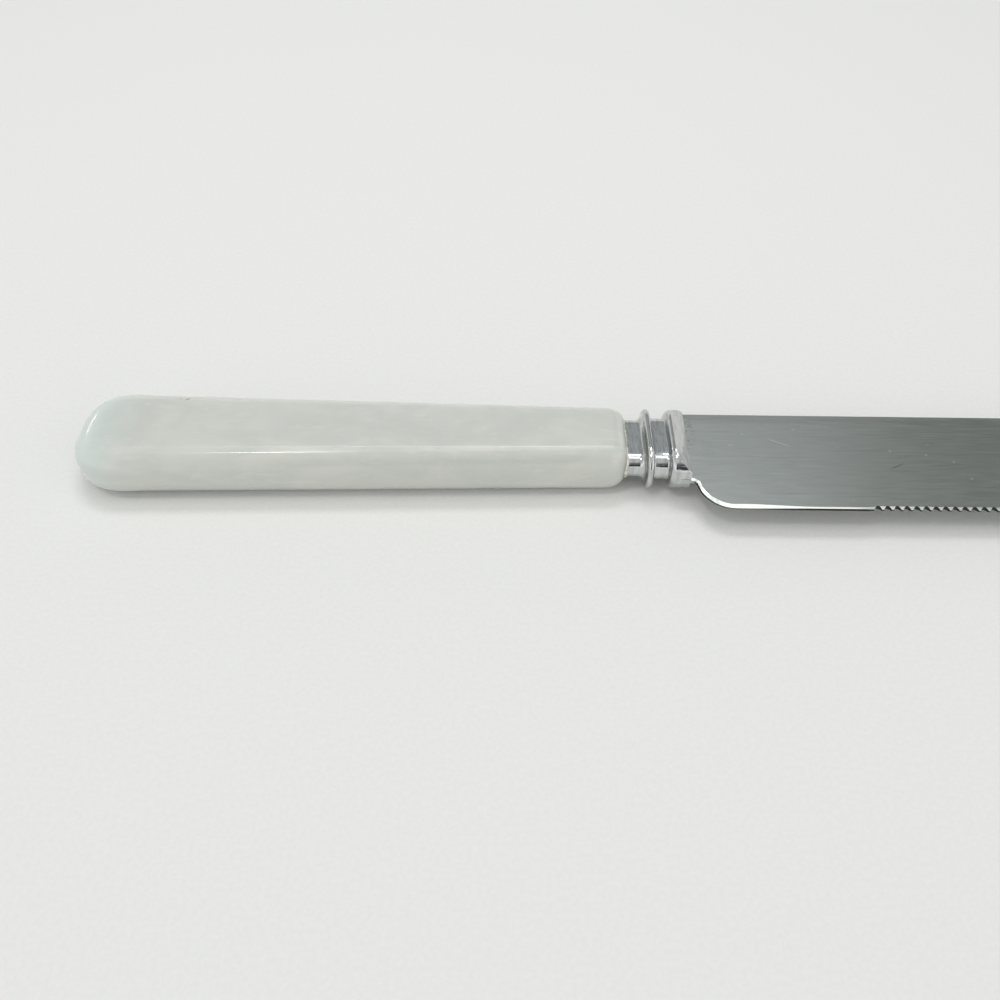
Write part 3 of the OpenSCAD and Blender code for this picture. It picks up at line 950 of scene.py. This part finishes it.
# %% Floor
floor_half = 12.0
corners = np.array([[-1, -1, 0], [1, -1, 0], [1, 1, 0], [-1, 1, 0]]) * floor_half
floor_mesh = bpy.data.meshes.new("floor")
floor_mesh.from_pydata(corners, [], [[0, 1, 2, 3]])
floor = bpy.data.objects.new("floor", floor_mesh)
scene.collection.objects.link(floor)
paper, tree, shader = material("floor_paper")
fibre = noise(tree, (1200, 1200, 1200), 3.0)
base = blend(tree, soft_step(tree, fibre, 0.3, 0.7), colour(227, 227, 225), colour(230, 230, 228))
plug_in(tree, shader, {
    "Base Color": base,
    "Roughness": span(tree, fibre, 0.8, 0.95),
    "Specular IOR Level": 0.1})
dress(floor, paper)

# %% [markdown]
# A soft panel stands overhead, a little behind the knife, so the shadow falls towards the camera.
# Three more lamps draw one light each: the bright stretch of the line on the handle's crease, the
# short streak on its dome and the white line of the blade's bevel. Point lamps would show in the
# polish as dots, so each lamp is a rectangle, sized for the light that it draws.

# %% Lamps
def lamp(name, place, target, size, watts):
    """Soft lamp at a place in metres, turned to a target, with sides of size along its own x and y.
    The own y of a lamp that looks down lies the way in which it leans."""
    data = bpy.data.lights.new(name, "AREA")
    data.shape = "RECTANGLE"
    data.size, data.size_y = size
    data.energy = watts
    made = bpy.data.objects.new(name, data)
    made.location = place
    made.rotation_euler = (Vector(target) - Vector(place)).to_track_quat("-Z", "Y").to_euler()
    scene.collection.objects.link(made)
    print(f"{name}: {size[0]} x {size[1]} m, {watts} W")


lamp("key_panel", (0.0, 0.3, 0.8), (0.0, 0.0, 0.0), (0.42, 0.16), 1.5)
lamp("crease_lamp", (-0.19, -0.19, 0.8), (-0.02, 0.0, 0.0), (0.075, 0.14), 0.8)
lamp("window_lamp", (-0.85, 0.707, 0.184), (-0.05, 0.0, 0.0), (0.1, 0.025), 0.07)
lamp("edge_lamp", (0.195, -0.02, 0.8), (0.1, -0.02, 0.0), (0.24, 0.46), 0.5)

# %% [markdown]
# ## The room
# Polished metal shows little of its own colour; it shows the room. A picture of a real room could be
# wrapped round the scene, but then its lights are fixed. So the room is written by direction: dim
# behind the knife, where the blade and the flats of the ferrule mirror it, and pale in front.

# %% Room
white_side, grey_top = (1.0, 1.0, 0.98, 1.0), (0.7, 0.71, 0.7, 1.0)
pale_front = (1.22, 1.22, 1.2, 1.0)
left_wall, right_wall, wall_foot = (0.4, 0.42, 0.425, 1.0), (0.2, 0.21, 0.2, 1.0), (0.8, 0.8, 0.8, 1.0)

world = bpy.data.worlds.new("room")
world.use_nodes = True
scene.world = world
sky = world.node_tree
background = sky.nodes["Background"]
direction = node(sky, "ShaderNodeTexCoord", {}).outputs["Generated"]
toward = node(sky, "ShaderNodeSeparateXYZ", {"Vector": direction}).outputs
open_room = blend(sky, soft_step(sky, toward["Z"], 0.1, 0.7), white_side, grey_top)
in_front = soft_step(sky, toward["Y"], 0.1, -0.4)
low_front = maths(sky, "MULTIPLY", in_front, soft_step(sky, toward["Z"], 0.7, 0.3))
open_room = blend(sky, low_front, open_room, pale_front)

far_wall = blend(sky, soft_step(sky, toward["X"], 0.3, 0.42), left_wall, right_wall)
lift_range = {"Value": toward["Z"], "From Min": 0.68, "From Max": 0.78, "To Min": 0.94, "To Max": 1.3}
lift = node(sky, "ShaderNodeMapRange", lift_range).outputs["Result"]
far_wall = node(sky, "ShaderNodeVectorMath", {0: far_wall, "Scale": lift}, operation="SCALE")
far_wall = far_wall.outputs["Vector"]
far_wall = blend(sky, soft_step(sky, toward["Z"], 0.5, 0.3), far_wall, wall_foot)
behind = soft_step(sky, toward["Y"], 0.25, 0.5)
beside = soft_step(sky, toward["X"], -0.85, -0.6)
room_light = blend(sky, maths(sky, "MULTIPLY", behind, beside), open_room, far_wall)
print(f"room: {len(sky.nodes)} nodes for its walls")

# %% [markdown]
# One dark patch in front gives the plate its dark bars. A black card in the scene could do the same,
# but it would also throw a shadow. The patch has soft sides and a few blots, so that its bars aren't
# as even as ruled lines. Near the horizon the room is plain all round.

# %% Dark patch
patch_dark, horizon = (0.05, 0.05, 0.06, 1.0), (0.85, 0.85, 0.84, 1.0)
patch_sides = (("X", -0.35, -0.15), ("X", 0.45, 0.2), ("Y", -0.3, -0.55), ("Z", 0.8, 0.55),
               ("Z", 0.15, 0.28))

blot_inputs = {"Vector": direction, "Scale": 5.0, "Detail": 3.0}
blots = node(sky, "ShaderNodeTexNoise", blot_inputs).outputs["Fac"]
patch = soft_step(sky, blots, 0.2, 0.45)
for axis, start, end in patch_sides:
    patch = maths(sky, "MULTIPLY", patch, soft_step(sky, toward[axis], start, end))
room_light = blend(sky, patch, room_light, patch_dark)
room_light = blend(sky, soft_step(sky, toward["Z"], 0.2, 0.1), room_light, horizon)
plug_in(sky, background, {"Color": room_light, "Strength": 1.0})
print(f"room: {len(sky.nodes)} nodes with its dark patch")

# %% [markdown]
# ## Handing over
# Nothing on this knife moves, so every piece rides on the frame's only body.

# %% Finish
pieces = ((handle, "pearl_resin"), (ferrule, "ferrule_plate"), (blade, "blade_steel"), (cement, "cement"))
for piece, slot in pieces:
    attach(piece, "root")
